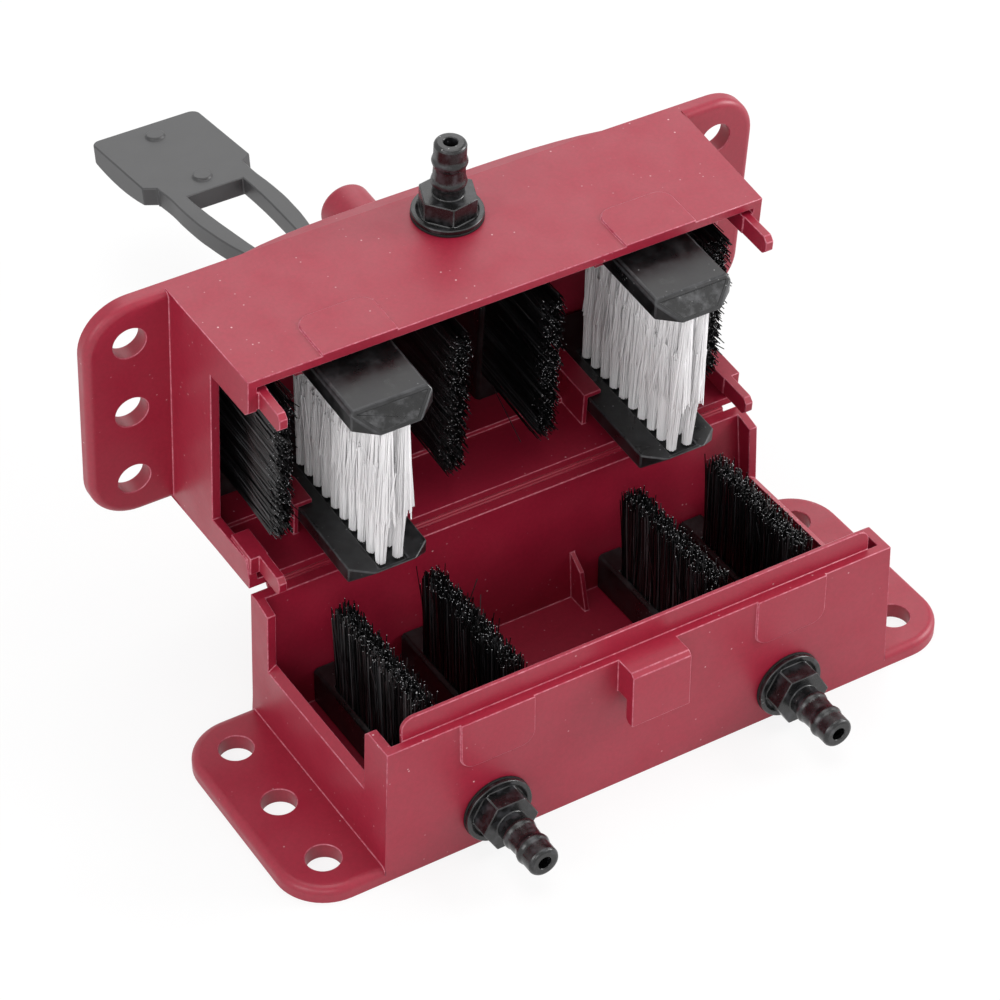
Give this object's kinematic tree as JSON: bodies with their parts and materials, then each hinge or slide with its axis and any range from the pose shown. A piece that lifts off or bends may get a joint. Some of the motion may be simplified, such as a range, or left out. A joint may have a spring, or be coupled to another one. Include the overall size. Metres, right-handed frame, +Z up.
{
  "type": "bike chain cleaner",
  "caption": "Hinged box of brush bars and brush strips that shuts round a chain, with a rubber latch strap, a handle peg, eared ends and barbed hose spigots.",
  "frame": {"origin": "centre of the base's flat underside", "axes": "+X along the box and the chain's path, +Y from the spigots to the hinge, +Z up"},
  "size_m": [0.173, 0.2615, 0.1216],
  "materials": {
    "red_plastic": "satin to gloss, as moulded",
    "hinge_plastic": "satin, whitened where it folds",
    "black_plastic": "gloss, lightly scuffed",
    "white_nylon": "satin strands",
    "black_nylon": "satin strands",
    "grey_rubber": "matt",
    "black_rubber": "matt",
    "plated_brass": "black plating, gloss"
  },
  "bodies": {
    "base": {"base_shell": "red_plastic", "film_hinge": "hinge_plastic", "left_drain_spigot": "plated_brass", "right_drain_spigot": "plated_brass", "drain_washers": "black_rubber", "drain_nuts": "plated_brass", "base_outer_left_strip": "black_plastic", "base_inner_left_strip": "black_plastic", "base_inner_right_strip": "black_plastic", "base_outer_right_strip": "black_plastic", "base_outer_left_bristles": "black_nylon", "base_inner_left_bristles": "black_nylon", "base_inner_right_bristles": "black_nylon", "base_outer_right_bristles": "black_nylon"},
    "lid": {"lid_shell": "red_plastic", "inlet_spigot": "plated_brass", "inlet_washer": "black_rubber", "inlet_nut": "plated_brass", "back_left_bar": "black_plastic", "back_right_bar": "black_plastic", "front_left_bar": "black_plastic", "front_right_bar": "black_plastic", "back_left_bristles": "white_nylon", "back_right_bristles": "white_nylon", "front_left_bristles": "white_nylon", "front_right_bristles": "white_nylon", "lid_outer_left_strip": "black_plastic", "lid_inner_left_strip": "black_plastic", "lid_inner_right_strip": "black_plastic", "lid_outer_right_strip": "black_plastic", "lid_outer_left_bristles": "black_nylon", "lid_inner_left_bristles": "black_nylon", "lid_inner_right_bristles": "black_nylon", "lid_outer_right_bristles": "black_nylon"},
    "strap": {"latch_strap": "grey_rubber"}
  },
  "joints": [
    {"name": "lid_hinge", "type": "hinge", "parent": "base", "child": "lid", "pos_m": [0, 0.0308, 0.0376], "axis": [1, 0, 0], "range_deg": [-80, 85]},
    {"name": "strap_pivot", "type": "hinge", "parent": "lid", "child": "strap", "pos_m": [0, 0.07412, 0.04842], "axis": [1, 0, 0], "range_deg": [-75, 98]}
  ]
}
